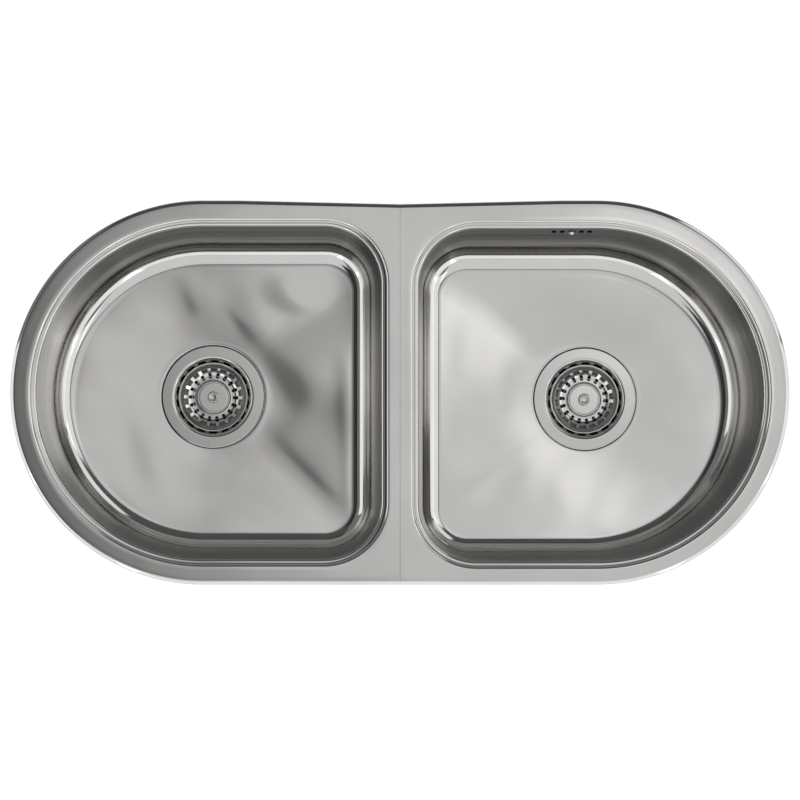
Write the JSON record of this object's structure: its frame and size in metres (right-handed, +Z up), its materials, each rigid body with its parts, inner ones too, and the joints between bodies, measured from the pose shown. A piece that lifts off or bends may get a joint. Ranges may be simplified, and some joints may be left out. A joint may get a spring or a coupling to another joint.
{
  "type": "double bowl kitchen sink",
  "caption": "Inset stainless steel kitchen sink with round ends, D-shaped bowls, basket strainers that lift out, an overflow and rim clips.",
  "frame": {"origin": "in the worktop's surface, under the middle of the rim", "axes": "+X along the sink to the right bowl, +Y to the back (overflow side), +Z up"},
  "size_m": [0.85, 0.42, 0.27],
  "materials": {
    "polished_steel": "polished",
    "bright_steel": "polished",
    "zinc_steel": "zinc plated",
    "rubber": "matt",
    "foam": "matt",
    "plastic": "satin"
  },
  "bodies": {
    "sink": {"left_bowl_pressing": "polished_steel", "right_bowl_pressing": "polished_steel", "centre_weld": "polished_steel", "rim_seal": "foam", "left_sound_pad": "rubber", "right_sound_pad": "rubber", "left_flange_gasket": "rubber", "left_strainer_cup": "bright_steel", "left_clamp_gasket": "rubber", "left_waste_body": "plastic", "left_clamp_screw": "bright_steel", "right_flange_gasket": "rubber", "right_strainer_cup": "bright_steel", "right_clamp_gasket": "rubber", "right_waste_body": "plastic", "right_clamp_screw": "bright_steel", "overflow_gasket": "rubber", "overflow_elbow": "plastic", "overflow_screw": "bright_steel", "clip_1_bracket": "zinc_steel", "clip_2_bracket": "zinc_steel", "clip_3_bracket": "zinc_steel", "clip_4_bracket": "zinc_steel", "clip_5_bracket": "zinc_steel", "clip_6_bracket": "zinc_steel", "clip_7_bracket": "zinc_steel", "clip_8_bracket": "zinc_steel"},
    "left_stopper": {"left_basket_stem": "bright_steel", "left_basket_seal": "rubber"},
    "left_basket_body": {"left_basket": "bright_steel", "left_basket_knob": "bright_steel"},
    "right_stopper": {"right_basket_stem": "bright_steel", "right_basket_seal": "rubber"},
    "right_basket_body": {"right_basket": "bright_steel", "right_basket_knob": "bright_steel"},
    "clip_1_screw_body": {"clip_1_screw": "zinc_steel"},
    "clip_1_jaw_body": {"clip_1_jaw": "zinc_steel"},
    "clip_2_screw_body": {"clip_2_screw": "zinc_steel"},
    "clip_2_jaw_body": {"clip_2_jaw": "zinc_steel"},
    "clip_3_screw_body": {"clip_3_screw": "zinc_steel"},
    "clip_3_jaw_body": {"clip_3_jaw": "zinc_steel"},
    "clip_4_screw_body": {"clip_4_screw": "zinc_steel"},
    "clip_4_jaw_body": {"clip_4_jaw": "zinc_steel"},
    "clip_5_screw_body": {"clip_5_screw": "zinc_steel"},
    "clip_5_jaw_body": {"clip_5_jaw": "zinc_steel"},
    "clip_6_screw_body": {"clip_6_screw": "zinc_steel"},
    "clip_6_jaw_body": {"clip_6_jaw": "zinc_steel"},
    "clip_7_screw_body": {"clip_7_screw": "zinc_steel"},
    "clip_7_jaw_body": {"clip_7_jaw": "zinc_steel"},
    "clip_8_screw_body": {"clip_8_screw": "zinc_steel"},
    "clip_8_jaw_body": {"clip_8_jaw": "zinc_steel"}
  },
  "joints": [
    {"name": "left_basket_lift", "type": "slide", "parent": "sink", "child": "left_stopper", "axis": [0, 0, 1], "range_m": [0, 0.24]},
    {"name": "left_basket_turn", "type": "hinge", "parent": "left_stopper", "child": "left_basket_body", "pos_m": [-0.2085, 0, -0.1995], "axis": [0, 0, 1], "continuous": true},
    {"name": "right_basket_lift", "type": "slide", "parent": "sink", "child": "right_stopper", "axis": [0, 0, 1], "range_m": [0, 0.24]},
    {"name": "right_basket_turn", "type": "hinge", "parent": "right_stopper", "child": "right_basket_body", "pos_m": [0.206, -0.0025, -0.1995], "axis": [0, 0, 1], "continuous": true},
    {"name": "clip_1_draw", "type": "slide", "parent": "sink", "child": "clip_1_screw_body", "axis": [0, 0, 1], "range_m": [0, 0.009]},
    {"name": "clip_1_swing", "type": "hinge", "parent": "clip_1_screw_body", "child": "clip_1_jaw_body", "pos_m": [-0.1, -0.1917, -0.047], "axis": [0, 0, -1], "range_deg": [0, 90]},
    {"name": "clip_2_draw", "type": "slide", "parent": "sink", "child": "clip_2_screw_body", "axis": [0, 0, 1], "range_m": [0, 0.009]},
    {"name": "clip_2_swing", "type": "hinge", "parent": "clip_2_screw_body", "child": "clip_2_jaw_body", "pos_m": [-0.37203, -0.10995, -0.047], "axis": [0, 0, -1], "range_deg": [0, 90]},
    {"name": "clip_3_draw", "type": "slide", "parent": "sink", "child": "clip_3_screw_body", "axis": [0, 0, 1], "range_m": [0, 0.009]},
    {"name": "clip_3_swing", "type": "hinge", "parent": "clip_3_screw_body", "child": "clip_3_jaw_body", "pos_m": [-0.1, 0.18999, -0.047], "axis": [0, 0, -1], "range_deg": [0, 90]},
    {"name": "clip_4_draw", "type": "slide", "parent": "sink", "child": "clip_4_screw_body", "axis": [0, 0, 1], "range_m": [0, 0.009]},
    {"name": "clip_4_swing", "type": "hinge", "parent": "clip_4_screw_body", "child": "clip_4_jaw_body", "pos_m": [-0.37203, 0.10995, -0.047], "axis": [0, 0, -1], "range_deg": [0, 90]},
    {"name": "clip_5_draw", "type": "slide", "parent": "sink", "child": "clip_5_screw_body", "axis": [0, 0, 1], "range_m": [0, 0.009]},
    {"name": "clip_5_swing", "type": "hinge", "parent": "clip_5_screw_body", "child": "clip_5_jaw_body", "pos_m": [0.1, -0.1917, -0.047], "axis": [0, 0, -1], "range_deg": [0, 90]},
    {"name": "clip_6_draw", "type": "slide", "parent": "sink", "child": "clip_6_screw_body", "axis": [0, 0, 1], "range_m": [0, 0.009]},
    {"name": "clip_6_swing", "type": "hinge", "parent": "clip_6_screw_body", "child": "clip_6_jaw_body", "pos_m": [0.37203, -0.10995, -0.047], "axis": [0, 0, -1], "range_deg": [0, 90]},
    {"name": "clip_7_draw", "type": "slide", "parent": "sink", "child": "clip_7_screw_body", "axis": [0, 0, 1], "range_m": [0, 0.009]},
    {"name": "clip_7_swing", "type": "hinge", "parent": "clip_7_screw_body", "child": "clip_7_jaw_body", "pos_m": [0.1, 0.18999, -0.047], "axis": [0, 0, -1], "range_deg": [0, 90]},
    {"name": "clip_8_draw", "type": "slide", "parent": "sink", "child": "clip_8_screw_body", "axis": [0, 0, 1], "range_m": [0, 0.009]},
    {"name": "clip_8_swing", "type": "hinge", "parent": "clip_8_screw_body", "child": "clip_8_jaw_body", "pos_m": [0.37203, 0.10995, -0.047], "axis": [0, 0, -1], "range_deg": [0, 90]}
  ]
}
